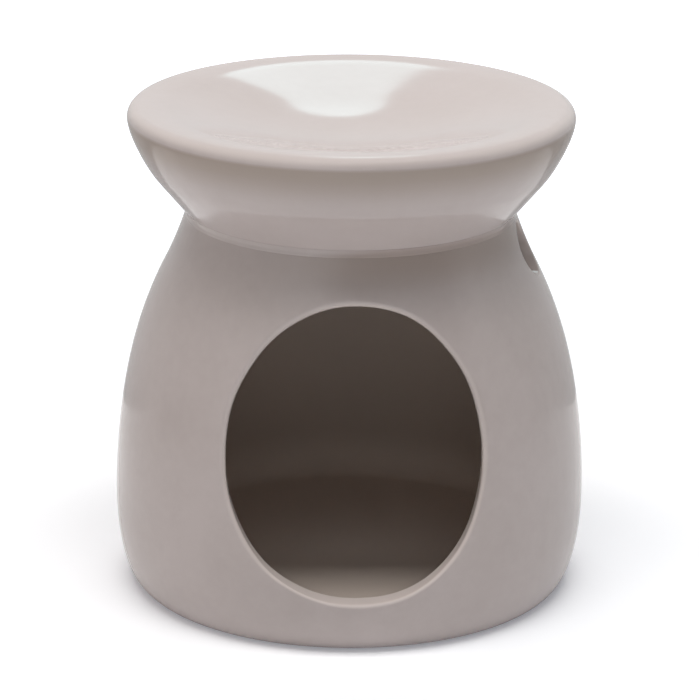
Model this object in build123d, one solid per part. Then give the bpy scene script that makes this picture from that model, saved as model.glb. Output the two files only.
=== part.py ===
from build123d import *
import math
import os

# Essential oil burner in glazed earthenware. A bell-shaped body with an oval opening for the
# candle is cast in one mould, a hollow oil dish in another, and a layer of slip joins the two.
# Lengths are in millimetres and angles in degrees. The origin lies on the ground under the
# middle of the foot, +Z is up, and the oval opening faces -Y.

# Whole burner
overall_height = 100.0
cast_wall = 4.0  # clay left standing in either mould, measured level
overrun = 6.0  # how far a cutting shape runs past the clay that it cuts

# Bell-shaped body
belly_radius = 48.2
belly_height = 18.0
foot_tuck = 5.4  # how far the foot is drawn in under the belly
neck_radius = 33.4
neck_lean = 18.4  # inwards from upright
shoulder_spread = 4.5  # how much wider than the neck the shoulder is
shoulder_drop = 10.9  # below the rim of the neck
shoulder_lean = 27.5  # inwards from upright, where the wall leans most
belly_pull_share = 0.39  # of the rise from belly to shoulder
shoulder_pull_share = 0.30  # of the same rise
neck_pull_share = 0.33  # of the rise from shoulder to neck
floor_thickness = 5.0
foot_ring_width = 5.5
foot_recess = 1.0

# Oval opening, cut by hand through the front wall
opening_width = 50.2
opening_sill = 10.4  # from the ground up to the lowest point of the cut
opening_top_drop = 10.1  # from the rim of the neck down to the highest point of the cut
opening_edge_radius = 1.2

# Round vents under the neck
vent_diameter = 10.8
vent_margin = 0.6  # clay between a vent and the plain land of the neck
vent_edge_radius = 0.5
vent_bearings = (-8.2, 164.0)  # turned from +X towards +Y

# Slip that joins the dish to the neck
slip_thickness = 0.6
bead_leg = 0.8  # how far the outside bead climbs on either piece
bead_land_share = 1.125  # plain land on the neck, of the bead's leg
bead_hollow_share = 0.55  # of the way from the corner to the bead's chord

# Oil dish
dish_height = 21.5
rim_overhang = 11.7  # how far the rim stands out past the neck
lip_radius = 2.5  # outer half of the lip
skirt_lean = 40.0  # outwards from upright
skirt_straight = 10.0  # plain cone above the seat, before the skirt curves
skirt_pull_share = 0.22  # of the straight distance up to the lip
bowl_slope = 13.5  # from level, where the bowl is steepest
rim_roll = 6.6  # how far in from the lip's top the rim rolls over to that slope
bowl_floor_radius = 22.0  # where the slope ends and the rounded floor begins

# Places that follow from the sizes above
seat_height = overall_height - dish_height
neck_height = seat_height - slip_thickness
neck_land = bead_land_share * bead_leg
shoulder_height = neck_height - shoulder_drop
shoulder_radius = neck_radius + shoulder_spread
foot_radius = belly_radius - foot_tuck
chamber_floor = foot_recess + floor_thickness
opening_height = neck_height - opening_top_drop - opening_sill
vent_height = neck_height - neck_land - vent_margin - vent_diameter / 2
rim_radius = neck_radius + rim_overhang
lip_centre = (rim_radius - lip_radius, overall_height - lip_radius)


def revolved(outline):
    """Turn an outline, drawn as radius and height, about the burner's axis."""
    return revolve(Plane.YZ * make_face(outline), Axis.Z)


def leaning(point, length, lean):
    """Point that lies a length away from another, up a line that leans out from upright."""
    turn = math.radians(lean)
    return (point[0] + length * math.sin(turn), point[1] + length * math.cos(turn))


def bell(inset, bottom, top):
    """Solid inside the bell's side, drawn in by an inset, from a level bottom to a level top."""
    edge = foot_radius - inset
    belly = (belly_radius - inset, belly_height)
    shoulder = (shoulder_radius - inset, shoulder_height)
    neck = (neck_radius - inset, neck_height)
    land = leaning(neck, -neck_land, -neck_lean)
    rise = shoulder_height - belly_height
    neck_pull = neck_pull_share * (land[1] - shoulder_height)
    outline = [
        Line((0, bottom), (edge, bottom)),
        EllipticalCenterArc(
            (edge, belly_height), belly[0] - edge, belly_height - bottom, start_angle=270, arc_size=90
        ),
        Bezier(
            belly,
            (belly[0], belly_height + belly_pull_share * rise),
            leaning(shoulder, -shoulder_pull_share * rise, -shoulder_lean),
            shoulder,
        ),
        Bezier(
            shoulder,
            leaning(shoulder, neck_pull, -shoulder_lean),
            leaning(land, -neck_pull, -neck_lean),
            land,
        ),
        Line(land, neck),
    ]
    if top > neck_height:
        outline.append(Line(neck, (neck[0], top)))
    outline.append(Line((neck[0], top), (0, top)))
    outline.append(Line((0, top), (0, bottom)))
    return revolved(outline)


def cut_through(body, tool, edge_radius):
    """Cut a hole through the body's wall and round the edges that the cut leaves."""
    cut = body - tool
    return fillet(new_edges(body, tool, combined=cut), edge_radius)


def burner_body():
    """Bell with its floor and foot ring, its oval opening and its vents."""
    body = bell(0, 0, neck_height) - bell(cast_wall, chamber_floor, neck_height + overrun)
    body -= Cylinder(
        foot_radius - foot_ring_width, foot_recess, align=(Align.CENTER, Align.CENTER, Align.MIN)
    )
    middle = opening_sill + opening_height / 2
    front = Plane(origin=(0, 0, middle), x_dir=(1, 0, 0), z_dir=(0, -1, 0))
    oval = front * Ellipse(opening_width / 2, opening_height / 2)
    body = cut_through(body, extrude(oval, belly_radius + overrun), opening_edge_radius)
    side = Plane(origin=(0, 0, vent_height), z_dir=(1, 0, 0))
    for bearing in vent_bearings:
        vent = Rotation(0, 0, bearing) * (side * Circle(vent_diameter / 2))
        body = cut_through(body, extrude(vent, belly_radius + overrun), vent_edge_radius)
    return body


def slip_joint():
    """Layer of slip on the rim of the neck, with the bead that it leaves outside."""
    bore = neck_radius - cast_wall
    bead_foot = leaning((neck_radius, neck_height), -bead_leg, -neck_lean)
    bead_head = leaning((neck_radius, seat_height), bead_leg, skirt_lean)
    corner = Vector(neck_radius, (neck_height + seat_height) / 2)
    chord_middle = (Vector(*bead_foot) + Vector(*bead_head)) / 2
    hollow = corner + (chord_middle - corner) * bead_hollow_share
    outline = [
        Line((bore, neck_height), (neck_radius, neck_height)),
        Line((neck_radius, neck_height), bead_foot),
        ThreePointArc(bead_foot, hollow, bead_head),
        Line(bead_head, (neck_radius, seat_height)),
        Line((neck_radius, seat_height), (bore, seat_height)),
        Line((bore, seat_height), (bore, neck_height)),
    ]
    return revolved(outline)


def skirt_lines(inset):
    """Outside of the dish from its seat up to the lip, drawn in by an inset."""
    seat = (neck_radius - inset, seat_height)
    bend = leaning(seat, skirt_straight, skirt_lean)
    brim = (rim_radius - inset, lip_centre[1])
    pull = skirt_pull_share * math.dist(bend, brim)
    curve = Bezier(bend, leaning(bend, pull, skirt_lean), (brim[0], brim[1] - pull), brim)
    return [Line(seat, bend), curve], brim


def top_lines(drop):
    """Upper face of the dish from the lip's top down to the middle of the bowl, lowered by a drop."""
    slope = math.radians(bowl_slope)
    arc_fall = math.tan(slope / 2)  # fall over run of an arc that turns from level to the slope
    crest = (lip_centre[0], overall_height - drop)
    shoulder = (crest[0] - rim_roll, crest[1] - rim_roll * arc_fall)
    flank = shoulder[0] - bowl_floor_radius
    edge = (bowl_floor_radius, shoulder[1] - flank * math.tan(slope))
    middle = (0, edge[1] - bowl_floor_radius * arc_fall)
    lines = [
        TangentArc(crest, shoulder, tangent=(-1, 0)),
        Line(shoulder, edge),
        TangentArc(edge, middle, tangent=(-math.cos(slope), -math.sin(slope))),
    ]
    return lines, crest, middle


def oil_dish():
    """Hollow dish: a leaning skirt, a rounded lip, and a shallow bowl in its top."""
    skirt, brim = skirt_lines(0)
    top, crest, middle = top_lines(0)
    lip = TangentArc(brim, crest, tangent=(0, 1))
    seat = [Line(middle, (0, seat_height)), Line((0, seat_height), (neck_radius, seat_height))]
    solid = revolved(skirt + [lip] + top + seat)

    inner_skirt, inner_brim = skirt_lines(cast_wall)
    low, high = seat_height - overrun, overall_height + overrun
    inside_skirt = revolved(
        inner_skirt
        + [
            Line(inner_brim, (inner_brim[0], high)),
            Line((inner_brim[0], high), (0, high)),
            Line((0, high), (0, low)),
            Line((0, low), (neck_radius - cast_wall, low)),
            Line((neck_radius - cast_wall, low), (neck_radius - cast_wall, seat_height)),
        ]
    )
    under_top, under_crest, under_middle = top_lines(cast_wall)
    below_top = revolved(
        under_top
        + [
            Line(under_middle, (0, low)),
            Line((0, low), (under_crest[0], low)),
            Line((under_crest[0], low), under_crest),
        ]
    )
    return solid - (inside_skirt & below_top)


os.makedirs("parts", exist_ok=True)
pieces = {"burner_body": burner_body(), "slip_joint": slip_joint(), "oil_dish": oil_dish()}
for node, shape in pieces.items():
    export_step(shape, f"parts/{node}.step")
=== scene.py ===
from collections import namedtuple
import math
import bpy
import numpy as np
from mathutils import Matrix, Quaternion, Vector


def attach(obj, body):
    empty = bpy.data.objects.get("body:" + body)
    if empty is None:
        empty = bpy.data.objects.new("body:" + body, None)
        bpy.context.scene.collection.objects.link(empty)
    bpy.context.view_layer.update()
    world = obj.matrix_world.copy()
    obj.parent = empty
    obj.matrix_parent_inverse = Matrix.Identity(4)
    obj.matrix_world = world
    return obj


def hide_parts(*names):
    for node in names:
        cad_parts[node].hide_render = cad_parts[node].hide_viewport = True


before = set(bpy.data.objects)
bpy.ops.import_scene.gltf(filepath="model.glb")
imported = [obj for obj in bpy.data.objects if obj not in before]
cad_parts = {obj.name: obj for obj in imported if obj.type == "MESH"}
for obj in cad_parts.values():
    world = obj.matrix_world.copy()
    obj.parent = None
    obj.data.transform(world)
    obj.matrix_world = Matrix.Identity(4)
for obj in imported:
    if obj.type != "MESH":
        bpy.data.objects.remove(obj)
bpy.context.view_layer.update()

# Body
# A bell of white-firing earthenware, cast in a plaster mould with its floor and foot ring.
# While the clay was leather-hard, an oval for the candle and two round vents were cut through
# its wall by hand and sponged smooth, and the whole was then glazed, with the foot wiped bare.

belly_radius, belly_height = 48.2, 18.0
foot_radius, foot_ring_width, foot_recess = 42.8, 5.5, 1.0
foot_corner, corner_cut = 0.5, 0.15  # how far a corner of the foot ring is rounded, and how deep
recess_margin, foot_margin = 9.0, 1.5  # in from the edges of the recess and of the foot ring
cast_wall, chamber_floor = 4.0, 6.0
floor_steps = (1.0, 3.0, 7.8, 11.8, 16.8)  # rings on the floor, in from the foot of the wall
shoulder_radius, shoulder_height, shoulder_lean = 37.9, 67.0, 27.5
neck_radius, neck_height, neck_lean, neck_land = 33.4, 77.9, 18.4, 0.9
rim_edge, rim_corner = 0.1, 0.2  # rounding of the neck's rim, down the wall and across the rim
rim_rows = (1.3, 2.7)  # rings across the rim, in from its outer or its inner edge
belly_pull, shoulder_pull, neck_pull = 0.39, 0.30, 0.33
columns = 160  # points round the axis

# Firing draws the clay in by up to this much, less so near the axis, in slow waves. Each wave has its
# strength, its number round the axis, its phase, and its twist with every millimetre of height.
drawn_in, core_radius = 0.22, 12.0
firing_waves = ((1.0, 2, 3.7, 0.020), (0.6, 3, 0.5, -0.047), (0.5, 5, 2.3, 0.083), (0.4, 2, 0.0, 0.21))


def bezier(p0, p1, p2, p3, count):
    """Points along a cubic curve, its first point left out."""
    t = np.linspace(0, 1, count + 1)[1:, None]
    p0, p1, p2, p3 = map(np.array, (p0, p1, p2, p3))
    return (1 - t) ** 3 * p0 + 3 * t * (1 - t) ** 2 * p1 + 3 * t * t * (1 - t) * p2 + t ** 3 * p3


def leaning(point, length, lean):
    """Point a length away, up a line that leans out from upright."""
    turn = math.radians(lean)
    return (point[0] + length * math.sin(turn), point[1] + length * math.cos(turn))


def wall_line():
    """Fine outline of the bell's outside above the belly, as radius and height."""
    belly = (belly_radius, belly_height)
    shoulder = (shoulder_radius, shoulder_height)
    neck = (neck_radius, neck_height)
    land = leaning(neck, -neck_land, -neck_lean)
    rise = shoulder_height - belly_height
    pull = neck_pull * (land[1] - shoulder_height)
    lower = bezier(
        belly,
        (belly_radius, belly_height + belly_pull * rise),
        leaning(shoulder, -shoulder_pull * rise, -shoulder_lean),
        shoulder,
        300,
    )
    upper = bezier(
        shoulder, leaning(shoulder, pull, -shoulder_lean), leaning(land, -pull, -neck_lean), land, 100
    )
    return np.vstack([[belly], lower, upper, [neck]])


outer_wall = wall_line()


def wall_radius(height, inset, bottom):
    """Radius of the bell at a height, drawn in by an inset, over the bottom that its curve meets."""
    height = np.asarray(height, float)
    above = np.interp(height, outer_wall[:, 1], outer_wall[:, 0])
    drop = np.clip((belly_height - height) / (belly_height - bottom), 0, 1)
    below = foot_radius + (belly_radius - foot_radius) * np.sqrt(1 - drop ** 2)
    return np.where(height >= belly_height, above, below) - inset


def waves(turn, parts):
    """Sum of waves round a circle, each with its strength, its number and its phase."""
    return sum(strength * np.sin(number * turn + phase) for strength, number, phase in parts)


def settle(points):
    """Draw a piece in a little, in the slow waves that drying and firing leave in clay."""
    points = np.asarray(points, float)
    x, y, z = points.T
    radius = np.hypot(x, y)
    parts = [(strength, number, phase + z * twist) for strength, number, phase, twist in firing_waves]
    uneven = 0.5 + 0.2 * waves(np.arctan2(y, x), parts)
    inward = drawn_in * uneven * np.clip(radius / core_radius, 0, 1)
    shrink = 1 - inward / np.maximum(radius, 1e-6)
    return np.column_stack([x * shrink, y * shrink, z])


class Clay:
    """Points, faces and surface marks of one piece while it is being put together."""

    def __init__(self):
        self.points, self.faces, self.marks = [], [], []

    def ring(self, points, mark=0.0):
        """Add a row of points, with one mark or a mark worked out from each, and return their numbers."""
        start = len(self.points)
        self.points.extend(tuple(p) for p in points)
        self.marks.extend(mark(np.asarray(points)) if callable(mark) else [mark] * len(points))
        return list(range(start, len(self.points)))

    def turned(self, radius, height, mark=0.0):
        """Add a level ring about the axis."""
        turn = np.arange(columns) * 2 * math.pi / columns
        level = np.full(columns, height)
        return self.ring(np.column_stack([radius * np.cos(turn), radius * np.sin(turn), level]), mark)

    def skin(self, first, second, gaps=()):
        """Join two rings with four-sided faces, but for the columns that the gaps leave open."""
        count = len(first)
        for i in range(count):
            if any((i - start) % count < width for start, width in gaps):
                continue
            j = (i + 1) % count
            self.faces.append((first[i], first[j], second[j], second[i]))

    def skins(self, rings):
        """Join each ring to the next."""
        for first, second in zip(rings, rings[1:]):
            self.skin(first, second)

    def disc(self, ring, height_at, upward, mark=0.0):
        """Close a ring of the turned kind with a square net, drawn round to fit it."""
        size = columns // 4
        step = 2 * math.pi / columns
        radius = math.hypot(*self.points[ring[0]][:2])
        angle = (np.arange(size + 1) - size / 2) * step
        net = np.zeros((size + 1, size + 1), int)
        for i in range(size + 1):
            for j in range(size + 1):
                x = math.sqrt(2) * math.sin(angle[i]) * math.cos(angle[j])
                y = math.sqrt(2) * math.sin(angle[j]) * math.cos(angle[i])
                if i in (0, size) or j in (0, size):
                    net[i, j] = ring[round(math.atan2(y, x) / step) % columns]
                else:
                    height = height_at(radius * math.hypot(x, y))
                    net[i, j] = self.ring([(radius * x, radius * y, height)], mark)[0]
        for i in range(size):
            for j in range(size):
                face = (net[i, j], net[i + 1, j], net[i + 1, j + 1], net[i, j + 1])
                self.faces.append(tuple(map(int, face if upward else face[::-1])))

    def piece(self, name, mark_name):
        """Make the object, in metres, with its marks as an attribute and smooth faces."""
        used = sorted({i for face in self.faces for i in face})
        number = {old: new for new, old in enumerate(used)}
        faces = [tuple(number[i] for i in face) for face in self.faces]
        points = settle([self.points[i] for i in used]) / 1000
        mesh = bpy.data.meshes.new(name)
        mesh.from_pydata([tuple(p) for p in points], [], faces)
        marks = mesh.attributes.new(mark_name, "FLOAT", "POINT").data
        marks.foreach_set("value", [self.marks[i] for i in used])
        mesh.shade_smooth()
        mesh.update()
        made = bpy.data.objects.new(name, mesh)
        bpy.context.scene.collection.objects.link(made)
        smooth = made.modifiers.new("smooth clay", "SUBSURF")
        smooth.levels = smooth.render_levels = 1
        return made


# Rows of the wall, counted from the foot, the same outside and inside: the curve up to the belly,
# three bands above it that grow finer towards the neck, and the neck's rim.
foot_turns = np.radians(np.arange(0, 90, 7.5))
band_tops, band_rows = (63.0, 73.5, 77.45), (22, 7, 3)
wall_heights = [belly_height]
for band_top, row_count in zip(band_tops, band_rows):
    wall_heights.extend(np.linspace(wall_heights[-1], band_top, row_count + 1)[1:])
wall_heights += [neck_height - rim_edge, neck_height]


def wall_rows(inset, bottom):
    """Radius and height of each row of the wall."""
    rise = belly_height - bottom
    curve = [
        (foot_radius - inset + (belly_radius - foot_radius) * math.sin(a), belly_height - rise * math.cos(a))
        for a in foot_turns
    ]
    wall = [(float(wall_radius(h, inset, bottom)), h) for h in wall_heights]
    return curve + wall


outside_rows = wall_rows(0, 0)
inside_rows = wall_rows(cast_wall, chamber_floor)
belly_row = len(foot_turns)

# Holes cut by hand: where each faces, its size and height, the radius of its edge, how full its oval
# is and how unevenly it was cut, and the columns and rows of the window that it takes up in the wall.
Hole = namedtuple(
    "Hole", "bearing half_width half_height middle edge fullness uneven column_count low_row high_row"
)
opening = Hole(-90.0, 25.1, 28.7, 39.1, 0.90, 2.10, 0.41, 40, 5, belly_row + 29)
right_vent = Hole(-8.2, 5.4, 5.4, 71.0, 0.45, 2.0, 0.06, 13, belly_row + 22, belly_row + 32)
rear_left_vent = right_vent._replace(bearing=164.0)
holes = (opening, right_vent, rear_left_vent)
patch_rings, edge_rings, bore_rings = 6, 5, 3
cut_waves = ((1.0, 3, 3.54), (0.16, 5, 0.4), (0.10, 11, 2.0))
sponge_waves = ((0.3, 1, 0.0), (0.10, 4, 0.7), (0.06, 7, 0.0))

# Marks of the surface: up to 1 where the glaze breaks thin over an edge, and these below 0 for
# painted shade, where it lies thin on the chamber's wall, painted light low on its floor, and where it was
# wiped.
painted_shade, thin_wall, floor_painted_light, bare = -0.3, -0.5, -0.7, -1.0
outer_edge_marks = (0.0, 0.3, 0.6, 0.8, 0.9, 0.9, 0.9)
# The whole cut face of a hole is made paler: the glaze lies thin there, and it is also painted light on the
# sill and in the vents.
bore_mark = 0.9
inner_edge_marks = (0.9, 0.9, 0.8, 0.7, 0.5, 0.3, 0.1)
# Painted shade below the dish: its heights and its reach from side to side.
dish_shade_low, dish_shade_high, dish_shade_left, dish_shade_right = 68.5, 76.0, -24.0, 8.0
# Reach of the painted light low down at the back of the chamber.
floor_light_low, floor_light_high, floor_light_front, floor_light_back = 7.0, 16.0, -30.0, 5.0


def ramp(value, start, end):
    """Smooth rise from 0 to 1 between two values."""
    t = np.clip((value - start) / (end - start), 0, 1)
    return t * t * (3 - 2 * t)


def painted_dish_shade(points):
    """Marks of painted shade below the dish, on the neck and shoulder, most of it on the right."""
    return painted_shade * ramp(points[:, 2], dish_shade_low, dish_shade_high) * ramp(points[:, 0], dish_shade_left, dish_shade_right)


def in_chamber(points):
    """Marks inside: thin glaze on the wall, and painted light low down at the back, on the floor and its
    corner.
    """
    low = 1 - ramp(points[:, 2], floor_light_low, floor_light_high)
    return thin_wall + (floor_painted_light - thin_wall) * low * ramp(points[:, 1], floor_light_front, floor_light_back)


def first_column(hole):
    """Column at which the window of a hole begins."""
    return round(hole.bearing / 360 * columns - hole.column_count / 2) % columns


def window_border(grid, hole):
    """Numbers of the points round a hole's window in a grid of rings, from its lower left corner."""
    low, high = hole.low_row, hole.high_row
    cols = [(first_column(hole) + k) % columns for k in range(hole.column_count + 1)]
    lower = [grid[low][c] for c in cols[:-1]]
    right = [grid[r][cols[-1]] for r in range(low, high)]
    upper = [grid[high][c] for c in reversed(cols[1:])]
    left = [grid[r][cols[0]] for r in range(high, low, -1)]
    return lower + right + upper + left


def cut_hole(clay, outside, inside, hole):
    """Lead the skin from a window in the outside, round the cut's edges, to one in the inside."""
    bearing = math.radians(hole.bearing)
    out = np.array([math.cos(bearing), math.sin(bearing), 0])
    side = np.array([-math.sin(bearing), math.cos(bearing), 0])
    quarter = math.pi / 4
    counts = (hole.column_count, hole.high_row - hole.low_row) * 2
    angle = np.concatenate(
        [
            np.linspace(-quarter, quarter, count, endpoint=False) + (k - 1) * 2 * quarter
            for k, count in enumerate(counts)
        ]
    )

    def oval(a):
        """Hand-cut outline at an angle, across and up."""
        c, s = np.cos(a), np.sin(a)
        across = hole.half_width * np.sign(c) * np.abs(c) ** (2 / hole.fullness)
        up = hole.half_height * np.sign(s) * np.abs(s) ** (2 / hole.fullness)
        grow = 1 + hole.uneven * waves(a, cut_waves) / np.hypot(across, up)
        return np.column_stack([across * grow, up * grow + hole.middle])

    def depth(flat, inset, bottom):
        """How far out the wall stands at a place across and up."""
        radius = wall_radius(flat[:, 1], inset, bottom)
        return np.sqrt(np.maximum(radius ** 2 - flat[:, 0] ** 2, 0))

    def placed(flat, far):
        """Points in space, from places across and up and how far out each stands."""
        return np.outer(far, out) + np.outer(flat[:, 0], side) + np.outer(flat[:, 1], [0, 0, 1])

    nudge, probe = 1e-4, 0.5  # steps along the cut and away from it, which give their directions
    cut = oval(angle)
    along = oval(angle + nudge) - oval(angle - nudge)
    normal = np.column_stack([along[:, 1], -along[:, 0]]) / np.linalg.norm(along, axis=1)[:, None]
    rounding = hole.edge * (1 + waves(angle, sponge_waves))

    def edge_of(inset, bottom, facing):
        """Rounded edge between the wall and the cut: the rings from the wall into the cut."""
        at = depth(cut, inset, bottom)
        slope = -(depth(cut + probe * normal, inset, bottom) - at) / probe
        spread = np.sqrt(1 + slope ** 2)
        corner = np.arccos(facing * slope / spread)
        reach = rounding / np.tan(corner / 2)
        flat = cut + normal * (reach / spread)[:, None]
        begin = placed(flat, depth(flat, inset, bottom))
        point = placed(cut, at)
        end = placed(cut, at - facing * reach)
        weight = np.sin(corner / 2)[:, None]
        rings = []
        for t in np.linspace(0, 1, edge_rings + 2):
            a, b, c = (1 - t) ** 2, 2 * t * (1 - t) * weight, t * t
            rings.append((a * begin + b * point + c * end) / (a + b + c))
        return flat, rings

    def patch(border, flat, inset, bottom):
        """Rings on the wall from a window's border to the edge of the cut."""
        corners = np.array([clay.points[i] for i in border])
        wide = np.column_stack([corners @ side, corners[:, 2]])
        rings = []
        for t in np.linspace(0, 1, patch_rings + 2)[1:-1]:
            flat_ring = wide + (flat - wide) * t
            rings.append(placed(flat_ring, depth(flat_ring, inset, bottom)))
        return rings

    outer_border, inner_border = window_border(outside, hole), window_border(inside, hole)
    outer_flat, outer_edge = edge_of(0, 0, 1)
    inner_flat, inner_edge = edge_of(cast_wall, chamber_floor, -1)
    bore = [
        outer_edge[-1] + (inner_edge[-1] - outer_edge[-1]) * t
        for t in np.linspace(0, 1, bore_rings + 2)[1:-1]
    ]
    rings = [(points, painted_dish_shade) for points in patch(outer_border, outer_flat, 0, 0)]
    rings += zip(outer_edge, outer_edge_marks)
    rings += [(points, bore_mark) for points in bore]
    rings += zip(inner_edge[::-1], inner_edge_marks)
    inner_patch = patch(inner_border, inner_flat, cast_wall, chamber_floor)
    rings += [(points, in_chamber) for points in inner_patch[::-1]]
    clay.skins([outer_border] + [clay.ring(points, mark) for points, mark in rings] + [inner_border])


def build_body():
    """Bell from the recess under its floor, up the outside, over the rim and down to the floor."""
    clay = Clay()
    recess_edge = foot_radius - foot_ring_width
    base = [
        (recess_edge - recess_margin, foot_recess, 0.0),
        (recess_edge - foot_corner, foot_recess, 0.0),
        (recess_edge - corner_cut, foot_recess - corner_cut, 0.0),
        (recess_edge, foot_recess - foot_corner, 0.0),
        (recess_edge + corner_cut, corner_cut, bare),
        (recess_edge + foot_corner, 0.0, bare),
        (foot_radius - foot_ring_width / 2, 0.0, bare),
        (foot_radius - foot_margin, 0.0, bare),
    ]
    under = [clay.turned(r, h, m) for r, h, m in base]
    clay.disc(under[0], lambda r: foot_recess, upward=False)
    outside_marks = [bare] + [painted_dish_shade] * (len(outside_rows) - 1)
    outside = [clay.turned(r, h, m) for (r, h), m in zip(outside_rows, outside_marks)]
    across_rim = (rim_corner, *rim_rows, cast_wall - rim_corner)
    rim = [clay.turned(neck_radius - d, neck_height) for d in across_rim]
    inside = [clay.turned(r, h, in_chamber) for r, h in inside_rows]
    floor = [clay.turned(foot_radius - cast_wall - d, chamber_floor, in_chamber) for d in floor_steps]

    def wall(grid, order):
        """Skin of one side of the wall, with the holes' windows left open."""
        for row in range(len(grid) - 1):
            gaps = [(first_column(h), h.column_count) for h in holes if h.low_row <= row < h.high_row]
            clay.skin(*grid[row:row + 2][::order], gaps)

    clay.skins(under + outside[:1])
    wall(outside, 1)
    clay.skins([outside[-1]] + rim + [inside[-1]])
    wall(inside, -1)
    clay.skins([inside[0]] + floor)
    clay.disc(floor[-1], lambda r: chamber_floor, True, in_chamber)
    for hole in holes:
        cut_hole(clay, outside, inside, hole)
    return clay.piece("glazed_body", "edge_foot_painted_light_and_shade")


body = build_body()


def linear(code):
    """Linear colour of an sRGB hex value."""
    parts = [int(code[k:k + 2], 16) / 255 for k in (1, 3, 5)]
    return [c / 12.92 if c <= 0.04045 else ((c + 0.055) / 1.055) ** 2.4 for c in parts] + [1.0]


def add(tree, kind, settings=None, **inputs):
    """Add a node with its settings, and its sockets as values or as links from other sockets."""
    node = tree.nodes.new(kind)
    for name, value in (settings or {}).items():
        setattr(node, name, value)
    for name, value in inputs.items():
        socket = node.inputs[int(name[1:])] if name[0] == "_" else node.inputs[name.replace("_", " ")]
        if isinstance(value, bpy.types.NodeSocket):
            tree.links.new(value, socket)
        else:
            socket.default_value = value
    return node


# Taupe glaze on earthenware: a tin-white glaze with a little iron and manganese, fired to a
# smooth glass. It gives the eye a clear gloss over a soft, slightly clouded colour and breaks paler
# where it runs thin over an edge. Where the marks ask for it, a darker tone is laid on as painted shade
# and the paler tone as painted light.
mm = 1000.0  # millimetres in a metre
mottle_size, wear_size = 2.6, 14.0


def taupe_glaze(name, cloud_size, body_tone, deep_tone, thin_and_painted_light_tone, shade_tone, mark_name):
    """Material whose colour follows the marks, with the sockets of the marks and of that colour."""
    material = bpy.data.materials.new(name)
    material.use_nodes = True
    tree = material.node_tree
    place = add(tree, "ShaderNodeTexCoord").outputs["Object"]
    clouds = add(
        tree, "ShaderNodeTexNoise", Vector=place, Scale=mm / cloud_size, Detail=3.0, Roughness=0.5,
        Distortion=0.4,
    )
    mottle = add(tree, "ShaderNodeTexNoise", Vector=place, Scale=mm / mottle_size, Detail=2.0, Roughness=0.6)
    both = add(
        tree, "ShaderNodeMix", {"data_type": "FLOAT"}, Factor=0.3, _2=clouds.outputs["Fac"],
        _3=mottle.outputs["Fac"],
    )
    tone = add(tree, "ShaderNodeValToRGB", Fac=both.outputs["Result"])
    deep, full = tone.color_ramp.elements
    deep.position, deep.color = 0.30, linear(deep_tone)
    full.position, full.color = 0.66, linear(body_tone)
    mark = add(tree, "ShaderNodeAttribute", {"attribute_name": mark_name}).outputs["Fac"]
    # Share of the paler tone: glaze broken thin over an edge, and painted light where a mark asks for it.
    thin_and_lit_share = add(
        tree, "ShaderNodeMapRange", {"interpolation_type": "SMOOTHSTEP"}, Value=mark, From_Min=0.1,
        From_Max=1.3, To_Max=0.75,
    )
    paler_edges_and_painted_light = add(
        tree, "ShaderNodeMix", {"data_type": "RGBA"}, _0=thin_and_lit_share.outputs["Result"], _6=tone.outputs["Color"],
        _7=linear(thin_and_painted_light_tone),
    )
    # Share of the darker tone, laid on as painted shade.
    shade_share = add(tree, "ShaderNodeMapRange", Value=mark, From_Min=0.0, From_Max=painted_shade)
    shaded = add(
        tree, "ShaderNodeMix", {"data_type": "RGBA"}, _0=shade_share.outputs["Result"],
        _6=paler_edges_and_painted_light.outputs["Result"], _7=linear(shade_tone),
    )
    return material, mark, shaded.outputs["Result"]


def finish_gloss(material, colour, gloss, ripple_size, ripple_depth, matt=0.0):
    """Colour, a gloss that varies a little, and the faint ripple that a glaze keeps from its flow."""
    tree = material.node_tree
    shader = tree.nodes["Principled BSDF"]
    place = add(tree, "ShaderNodeTexCoord").outputs["Object"]
    wear = add(tree, "ShaderNodeTexNoise", Vector=place, Scale=mm / wear_size, Detail=2.0)
    rough = add(
        tree, "ShaderNodeMapRange", Value=wear.outputs["Fac"], From_Min=0.3, From_Max=0.7, To_Min=gloss[0],
        To_Max=gloss[1],
    )
    dulled = add(
        tree, "ShaderNodeMix", {"data_type": "FLOAT"}, Factor=matt, _2=rough.outputs["Result"], _3=0.6
    )
    flow = add(tree, "ShaderNodeTexNoise", Vector=place, Scale=mm / ripple_size, Detail=1.5, Roughness=0.4)
    bump = add(tree, "ShaderNodeBump", Strength=1.0, Distance=ripple_depth / mm, Height=flow.outputs["Fac"])
    tree.links.new(colour, shader.inputs["Base Color"])
    tree.links.new(dulled.outputs["Result"], shader.inputs["Roughness"])
    tree.links.new(bump.outputs["Normal"], shader.inputs["Normal"])
    shader.inputs["IOR"].default_value = 1.5


# On the body the glaze also lies thin and dull inside the chamber, the back of its floor is painted
# paler as painted light, and the foot ring is dull bare clay where it was wiped.
body_glaze, mark, tone = taupe_glaze(
    "taupe_glaze_on_body", 22.0, "#B6ABA8", "#AFA4A0", "#D0C5BF", "#A5978F", "edge_foot_painted_light_and_shade"
)
tree = body_glaze.node_tree
lining = add(tree, "ShaderNodeMapRange", Value=mark, From_Min=painted_shade, From_Max=thin_wall).outputs["Result"]
floor_light_share = add(tree, "ShaderNodeMapRange", Value=mark, From_Min=thin_wall, From_Max=floor_painted_light).outputs["Result"]
wiped = add(tree, "ShaderNodeMapRange", Value=mark, From_Min=-0.80, From_Max=-0.95).outputs["Result"]
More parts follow.
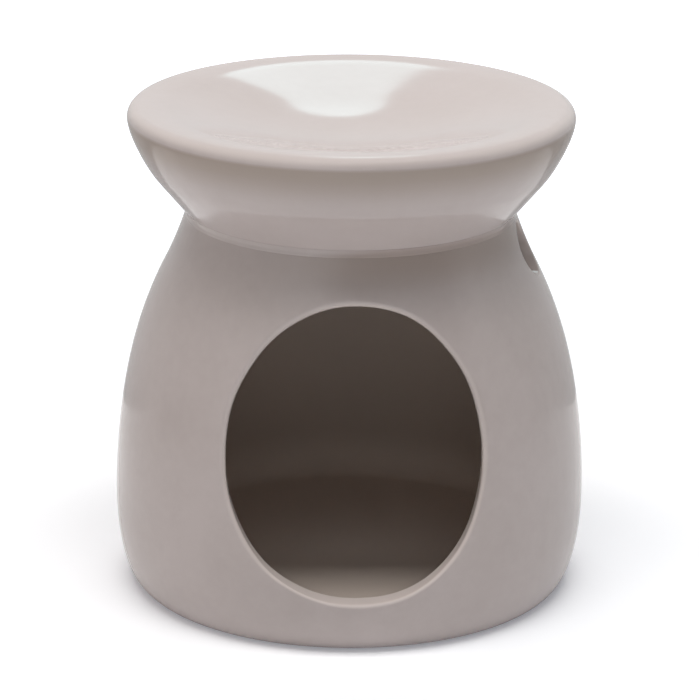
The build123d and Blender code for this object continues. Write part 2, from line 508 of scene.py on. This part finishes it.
# Coats over the tone: the thin lining glaze, painted light on the chamber's floor, and the bare wiped foot.
for share, coat in ((lining, "#BFB2A8"), (floor_light_share, "#D8CBC1"), (wiped, "#D9CDBB")):
    coated = add(tree, "ShaderNodeMix", {"data_type": "RGBA"}, _0=share, _6=tone, _7=linear(coat))
    tone = coated.outputs["Result"]
finish_gloss(body_glaze, tone, (0.07, 0.12), 7.0, 0.012, lining)
body.data.materials.append(body_glaze)
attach(body, "root")
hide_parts("burner_body")

# Joining slip
# Liquid clay painted on the rim of the neck, into which the dish was pressed. What squeezed out
# was wiped to a hollow bead in the crease, painted paler on the left as painted light and darker
# on the right and along its foot as painted shade.

slip_thickness, bead_leg, bead_hollow, skirt_lean = 0.6, 0.8, 0.55, 40.0
bead_bed = 0.18  # how far the thin edges of the bead lie bedded in the clay above and below
bead_points = 9
slip_corner, slip_bulge, bead_root = (0.1, 0.12), 0.03, 0.05  # small roundings of the slip's section
seat_height = neck_height + slip_thickness
bead_left, bead_right = -30.0, 10.0
bead_painted_light, bead_painted_shade, bead_foot_painted_shade = 0.5, 0.72, 0.25  # painted light on the bead's left, painted shade on its right and along its foot


def build_slip():
    """Ring of slip on the neck's rim, with its bead outside."""
    clay = Clay()
    bore = neck_radius - cast_wall
    foot = np.array(leaning((neck_radius, neck_height), -bead_leg, -neck_lean))
    head = np.array(leaning((neck_radius, seat_height), bead_leg, skirt_lean))
    corner = np.array([neck_radius, (neck_height + seat_height) / 2])
    hollow = corner + ((foot + head) / 2 - corner) * bead_hollow
    control = 2 * hollow - (foot + head) / 2
    bead = [
        (1 - t) ** 2 * foot + 2 * t * (1 - t) * control + t * t * head
        for t in np.linspace(0, 1, bead_points)
    ]
    bead[0], bead[-1] = foot - (bead_bed, 0), head - (bead_bed, 0)
    across = [bore + slip_corner[0], bore + rim_rows[0], bore + rim_rows[1], neck_radius - bead_root]
    outline = [(r, neck_height) for r in across]
    outline += [(foot + (neck_radius, neck_height)) / 2, *bead, (head + (neck_radius, seat_height)) / 2]
    outline += [(r, seat_height) for r in across[::-1]]
    outline += [(bore, seat_height - slip_corner[1]), (bore + slip_bulge, corner[1])]
    outline += [(bore, neck_height + slip_corner[1])]

    def along_crease(points):
        """Marks of the bead: painted light on the left, painted shade on the right and along its foot."""
        right = ramp(points[:, 0], bead_left, bead_right)
        at_foot = 1 - ramp(points[:, 2], foot[1], head[1])
        return bead_painted_light - bead_painted_shade * right - bead_foot_painted_shade * right * at_foot

    rings = [clay.turned(r, h, along_crease) for r, h in outline]
    clay.skins(rings + rings[:1])
    return clay.piece("joining_slip", "painted_shade")


slip = build_slip()
slip_glaze, _, tone = taupe_glaze(
    "taupe_glaze_on_slip_with_painted_light_and_shade", 12.0, "#B6ABA8", "#AFA4A0", "#C4B9B4", "#9F9089", "painted_shade"
)
finish_gloss(slip_glaze, tone, (0.06, 0.10), 4.0, 0.02)
slip.data.materials.append(slip_glaze)
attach(slip, "root")
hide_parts("slip_joint")

# Oil dish
# Cast hollow in its own mould: a skirt that leans out from the neck, a rounded lip, and a shallow
# bowl for water and oil with a rolled rim. It is open beneath, over the flame, and glazed.

overall_height, rim_radius, lip_radius = 100.0, 45.1, 2.5
skirt_straight, skirt_pull = 10.0, 0.22
bowl_slope, rim_roll, bowl_floor_radius = 13.5, 6.6, 22.0
net_radius, net_clearance = 9.0, 0.5  # of the square net in the middle, and of the rings round it
inner_clearance = 0.3  # between the rings of the skirt's inside and those under the bowl
lip_rows, skirt_rows = 8, (5, 9)
top_rows, under_rows, fine_rows = (6, 8, 12), (4, 6, 8), (40, 40, 200)
lip_shade, lip_shade_low, lip_shade_high = 0.85 * painted_shade, 89.0, 96.5  # painted shade under the lip


def skirt_line(inset):
    """Outside of the dish from its seat up to the lip, drawn in by an inset."""
    seat = (neck_radius - inset, seat_height)
    bend = leaning(seat, skirt_straight, skirt_lean)
    brim = (rim_radius - inset, overall_height - lip_radius)
    pull = skirt_pull * math.dist(bend, brim)
    cone = np.linspace(seat, bend, skirt_rows[0] + 1)
    curve = bezier(bend, leaning(bend, pull, skirt_lean), (brim[0], brim[1] - pull), brim, skirt_rows[1])
    return np.vstack([cone, curve])


def top_line(drop, counts):
    """Bowl from the lip's top to the middle: an arc, a straight flank and a rounded floor."""
    roll_count, flank_count, floor_count = counts
    slope = math.radians(bowl_slope)
    crest = np.array([rim_radius - lip_radius, overall_height - drop])
    roll_radius, floor_round = rim_roll / math.sin(slope), bowl_floor_radius / math.sin(slope)
    turns = np.linspace(0, slope, roll_count + 1)
    roll = crest - roll_radius * np.column_stack([np.sin(turns), 1 - np.cos(turns)])
    edge = np.array([bowl_floor_radius, roll[-1, 1] - (roll[-1, 0] - bowl_floor_radius) * math.tan(slope)])
    flank = np.linspace(roll[-1], edge, flank_count + 1)[1:]
    middle = np.array([0, edge[1] - bowl_floor_radius * math.tan(slope / 2)])
    turns = np.linspace(slope, 0, floor_count + 1)[1:]
    floor = middle + floor_round * np.column_stack([np.sin(turns), 1 - np.cos(turns)])
    return np.vstack([roll, flank, floor])


def bowl_height(drop):
    """Height of the bowl's face at a radius, lowered by a drop, as a function."""
    line = top_line(drop, fine_rows)[::-1]
    return lambda r: float(np.interp(r, line[:, 0], line[:, 1]))


def build_dish():
    """Dish from under the middle of its bowl, down inside, up the skirt, over the lip and into the bowl."""
    clay = Clay()
    over, below = bowl_height(0), bowl_height(cast_wall)
    inner = [p for p in skirt_line(cast_wall)[::-1] if p[1] < below(p[0]) - inner_clearance]
    ceiling = [
        p
        for p in top_line(cast_wall, under_rows)[::-1]
        if net_radius + net_clearance < p[0] < inner[0][0] - inner_clearance
    ]
    seat = [(neck_radius - cast_wall + rim_corner, seat_height), (neck_radius - rim_corner, seat_height)]
    top = [p for p in top_line(0, top_rows) if p[0] > net_radius + net_clearance]
    rows = [(net_radius, below(net_radius), 0.0)]
    rows += [(r, h, 0.0) for r, h in ceiling + inner + seat]
    # Painted shade on the skirt just under the lip.
    rows += [(r, h, lip_shade * float(ramp(h, lip_shade_low, lip_shade_high))) for r, h in skirt_line(0)]
    for turn in np.linspace(0, math.pi / 2, lip_rows + 1)[1:-1]:
        across, up = lip_radius * math.cos(turn), lip_radius * math.sin(turn)
        # Paler where the glaze breaks thin over the lip, with painted shade on its underside.
        mark = math.sin(2 * turn) ** 2 + lip_shade * math.cos(turn) ** 12
        rows.append((rim_radius - lip_radius + across, overall_height - lip_radius + up, mark))
    rows += [(r, h, 0.0) for r, h in top]
    rows += [(net_radius, over(net_radius), 0.0)]
    rings = [clay.turned(r, h, m) for r, h, m in rows]
    clay.skins(rings)
    clay.disc(rings[0], below, upward=False)
    clay.disc(rings[-1], over, upward=True)
    return clay.piece("glazed_dish", "lip_edge_and_painted_shade")


dish = build_dish()
dish_glaze, _, tone = taupe_glaze(
    "taupe_glaze_on_dish", 22.0, "#B7ACA9", "#B3A8A4", "#C1B6B1", "#9F9186", "lip_edge_and_painted_shade"
)
finish_gloss(dish_glaze, tone, (0.08, 0.12), 8.0, 0.0005)
dish.data.materials.append(dish_glaze)
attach(dish, "root")
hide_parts("oil_dish")

# Studio
# A white card on a pale table, under broad softboxes. Dim panels in front, at the sides and behind
# lift what those leave dark, and one tall, rounded lamp behind lies mirrored in the bowl of the dish.


def flat_sheet(name, left, right, front, back, height):
    """Level sheet of paper, seen from above."""
    corners = [(left, front, height), (right, front, height), (right, back, height), (left, back, height)]
    mesh = bpy.data.meshes.new(name)
    mesh.from_pydata(corners, [], [(0, 1, 2, 3)])
    made = bpy.data.objects.new(name, mesh)
    bpy.context.scene.collection.objects.link(made)
    return made


card = flat_sheet("white_card", left=-0.30, right=0.30, front=-0.45, back=0.12, height=0.0)
table = flat_sheet("table_top", left=-3, right=3, front=-3, back=3, height=-0.0005)
table.visible_glossy = False

# Matt white card: pressed paper pulp, which gives the eye a faint grain and no shine. It also glows: to
# the eye more with distance, so that the picture ends in white on every side, and else mostly as soft
# light on the clay, with little of it mirrored in the glaze.
paper = bpy.data.materials.new("matt_white_card")
paper.use_nodes = True
tree = paper.node_tree
shader = tree.nodes["Principled BSDF"]
fibre_size = 3.0
place = add(tree, "ShaderNodeTexCoord").outputs["Object"]
grain = add(tree, "ShaderNodeTexNoise", Vector=place, Scale=mm / fibre_size, Detail=2.0)
white = add(tree, "ShaderNodeValToRGB", Fac=grain.outputs["Fac"])
for stop, tone in zip(white.color_ramp.elements, ("#EEEEEE", "#F2F2F2")):
    stop.color = linear(tone)
away = add(tree, "ShaderNodeVectorMath", {"operation": "LENGTH"}, _0=place).outputs["Value"]
far_lit = add(
    tree, "ShaderNodeMapRange", {"interpolation_type": "SMOOTHSTEP"}, Value=away, From_Min=0.12,
    From_Max=0.60, To_Min=0.20, To_Max=1.1,
)
ray = add(tree, "ShaderNodeLightPath").outputs
near_lit = add(tree, "ShaderNodeMapRange", Value=ray["Is Diffuse Ray"], To_Min=0.06, To_Max=0.24)
lit = add(
    tree, "ShaderNodeMix", {"data_type": "FLOAT"}, Factor=ray["Is Camera Ray"],
    _2=near_lit.outputs["Result"], _3=far_lit.outputs["Result"],
)
tree.links.new(white.outputs["Color"], shader.inputs["Base Color"])
tree.links.new(lit.outputs["Result"], shader.inputs["Emission Strength"])
shader.inputs["Emission Color"].default_value = linear("#EDF3FF")
shader.inputs["Roughness"].default_value = 0.9
shader.inputs["Specular IOR Level"].default_value = 0.1
for sheet in (card, table):
    sheet.data.materials.append(paper)


def softbox(name, centre, aim, width, length, radiance, tone="#FFFFFF"):
    """Even rectangular soft light, hidden from the picture and from what the glaze mirrors."""
    lamp = bpy.data.lights.new(name, "AREA")
    lamp.shape, lamp.size, lamp.size_y = "RECTANGLE", width, length
    lamp.energy = radiance * math.pi * width * length
    lamp.color = linear(tone)[:3]
    made = bpy.data.objects.new(name, lamp)
    made.location = centre
    made.rotation_mode = "QUATERNION"
    made.rotation_quaternion = (Vector(aim) - Vector(centre)).to_track_quat("-Z", "Y")
    made.visible_camera = made.visible_glossy = False
    bpy.context.scene.collection.objects.link(made)
    return made


middle = (0.0, 0.0, 0.05)
warm, cool = "#FFE8D6", "#DCFBFF"
softbox("overhead_front", (0.0, -0.21, 1.10), (0.0, -0.21, 0.0), width=0.86, length=0.42, radiance=9.2)
softbox("overhead_back", (0.0, 0.72, 1.10), (0.0, 0.72, 0.0), width=0.86, length=0.60, radiance=3.1)
softbox("high_front_panel", (0.0, -0.83, 1.10), (0.0, -0.83, 0.0), width=0.86, length=0.46, radiance=1.2)
softbox("low_front_panel", (0.0, -1.30, 0.25), middle, width=1.20, length=0.45, radiance=0.68)
softbox("left_panel", (-1.0, 0.1, 0.55), middle, width=0.70, length=0.70, radiance=0.88, tone=warm)
softbox("high_left_panel", (-0.75, -0.1, 0.95), middle, width=0.60, length=0.60, radiance=0.33, tone=warm)
softbox("high_right_panel", (0.75, -0.1, 0.95), middle, width=0.60, length=0.60, radiance=0.50)
softbox("rear_left_panel", (-0.8, 0.8, 0.35), middle, width=0.50, length=0.50, radiance=0.52)
softbox("rear_right_panel", (0.8, 0.8, 0.35), middle, width=0.50, length=0.50, radiance=0.12)

# The lamp behind is the one that the glaze does mirror, and it gives no other light.
round_lamp = softbox(
    "round_lamp", (0.05, 1.0, 0.94), (0.05, 0.0, 0.94), width=0.18, length=0.60, radiance=2.1, tone=cool
)
round_lamp.data.shape = "ELLIPSE"
round_lamp.data.energy *= math.pi / 4
round_lamp.visible_glossy = True
round_lamp.visible_diffuse = False

# White tent: the glaze mirrors it all round, brighter overhead than low down, and dim on the side
# where it is open to look in.
room = bpy.data.worlds.new("white_tent")
bpy.context.scene.world = room
room.use_nodes = True
tree = room.node_tree
direction = add(tree, "ShaderNodeTexCoord").outputs["Generated"]
rise = add(tree, "ShaderNodeSeparateXYZ", Vector=direction).outputs["Z"]
cloth = add(tree, "ShaderNodeMapRange", Value=rise, From_Min=-0.93, To_Max=1.68)
way_in = Vector((0.45, -0.75, 0.48)).normalized()
facing = add(tree, "ShaderNodeVectorMath", {"operation": "DOT_PRODUCT"}, _0=direction, _1=way_in)
opened = add(
    tree, "ShaderNodeMapRange", {"interpolation_type": "SMOOTHSTEP"}, Value=facing.outputs["Value"],
    From_Min=0.65, From_Max=0.92, To_Min=1.0, To_Max=0.45,
)
glow = add(
    tree, "ShaderNodeMath", {"operation": "MULTIPLY"}, _0=cloth.outputs["Result"],
    _1=opened.outputs["Result"],
)
mirrored = add(tree, "ShaderNodeLightPath").outputs["Is Glossy Ray"]
strength = add(
    tree, "ShaderNodeMix", {"data_type": "FLOAT"}, Factor=mirrored, _2=0.0, _3=glow.outputs["Value"]
)
background = tree.nodes["Background"]
tree.links.new(strength.outputs["Result"], background.inputs["Strength"])
background.inputs["Color"].default_value = linear("#FFFFFF")

camera = bpy.data.objects.new("camera", bpy.data.cameras.new("camera"))
camera.data.sensor_width, camera.data.lens = 36.0, 175.76
camera.location = (-0.0178, -0.6656, 0.2643)
camera_roll = 0.36  # degrees
aim = Vector((0, 0, 0.0479)) - camera.location
camera.rotation_mode = "QUATERNION"
camera.rotation_quaternion = aim.to_track_quat("-Z", "Y") @ Quaternion((0, 0, 1), math.radians(camera_roll))
bpy.context.scene.collection.objects.link(camera)
bpy.context.scene.camera = camera
bpy.context.scene.view_settings.view_transform = "Standard"
